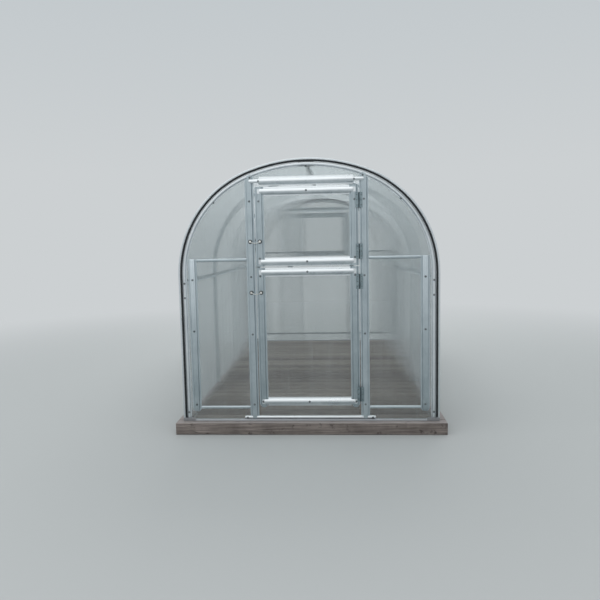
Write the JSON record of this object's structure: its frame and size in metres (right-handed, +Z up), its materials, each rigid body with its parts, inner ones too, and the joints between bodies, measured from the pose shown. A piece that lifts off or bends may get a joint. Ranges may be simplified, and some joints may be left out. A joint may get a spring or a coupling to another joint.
{
  "type": "greenhouse",
  "caption": "Arched walk-in greenhouse of galvanised steel profiles and clear twin-wall sheet on a timber base, with a split door, hook latches and a vent in the rear gable.",
  "frame": {"origin": "middle of the base's underside, at ground level", "axes": "+Z up, the door gable faces -Y, +X to the right seen from the front"},
  "size_m": [2.21, 4.16, 2.22],
  "materials": {
    "weathered_timber": "sawn softwood, stained dark and weathered",
    "floor_board": "planed softwood boards, greyed",
    "galvanised_steel": "roll-formed sheet with a matt zinc coat",
    "bright_galvanised_steel": "roll-formed sheet with a bright zinc coat",
    "twin_wall_sheet": "clear extruded twin-wall sheet with upright flutes",
    "seal_rubber": "extruded black seal",
    "hinge_steel": "zinc-plated pressed steel",
    "latch_steel": "zinc-plated bent rod and screws"
  },
  "bodies": {
    "house": {"base_beam_front": "weathered_timber", "base_beam_rear": "weathered_timber", "base_beams_side": "weathered_timber", "floor_joists": "weathered_timber", "floor_deck": "floor_board", "base_rails_side": "galvanised_steel", "base_rails_end": "galvanised_steel", "threshold": "bright_galvanised_steel", "arch_front": "bright_galvanised_steel", "arch_second": "galvanised_steel", "arch_third": "galvanised_steel", "arch_rear": "bright_galvanised_steel", "purlins": "galvanised_steel", "front_posts": "galvanised_steel", "front_header": "bright_galvanised_steel", "front_jambs": "galvanised_steel", "front_side_rails": "galvanised_steel", "front_sheets": "twin_wall_sheet", "rear_posts": "galvanised_steel", "rear_cross_rails": "bright_galvanised_steel", "rear_jambs": "galvanised_steel", "rear_side_rails": "galvanised_steel", "rear_sheets": "twin_wall_sheet", "rear_vent_stiles": "galvanised_steel", "rear_vent_rails": "bright_galvanised_steel", "rear_vent_sheet": "twin_wall_sheet", "rear_vent_hinges": "hinge_steel", "roof_sheet_front": "twin_wall_sheet", "roof_sheet_middle": "twin_wall_sheet", "roof_sheet_rear": "twin_wall_sheet", "seals": "seal_rubber", "post_hinges": "hinge_steel", "latch_studs": "latch_steel"},
    "lower_leaf": {"lower_leaf_stiles": "galvanised_steel", "lower_leaf_rails": "bright_galvanised_steel", "lower_leaf_sheet": "twin_wall_sheet", "lower_leaf_hinges": "hinge_steel"},
    "upper_leaf": {"upper_leaf_stiles": "galvanised_steel", "upper_leaf_rails": "bright_galvanised_steel", "upper_leaf_sheet": "twin_wall_sheet", "upper_leaf_hinges": "hinge_steel"},
    "lower_latch": {"lower_hook": "latch_steel"},
    "upper_latch": {"upper_hook": "latch_steel"}
  },
  "joints": [
    {"name": "lower_leaf_swing", "type": "hinge", "parent": "house", "child": "lower_leaf", "pos_m": [0.4155, -2.018, 0], "axis": [0, 0, 1], "range_deg": [0, 170]},
    {"name": "upper_leaf_swing", "type": "hinge", "parent": "house", "child": "upper_leaf", "pos_m": [0.4155, -2.018, 0], "axis": [0, 0, 1], "range_deg": [0, 170]},
    {"name": "lower_hook_lift", "type": "hinge", "parent": "lower_leaf", "child": "lower_latch", "pos_m": [-0.3765, -2.0235, 1.158], "axis": [0, 1, 0], "range_deg": [0, 110]},
    {"name": "upper_hook_lift", "type": "hinge", "parent": "upper_leaf", "child": "upper_latch", "pos_m": [-0.3765, -2.0235, 1.568], "axis": [0, 1, 0], "range_deg": [0, 110]}
  ]
}
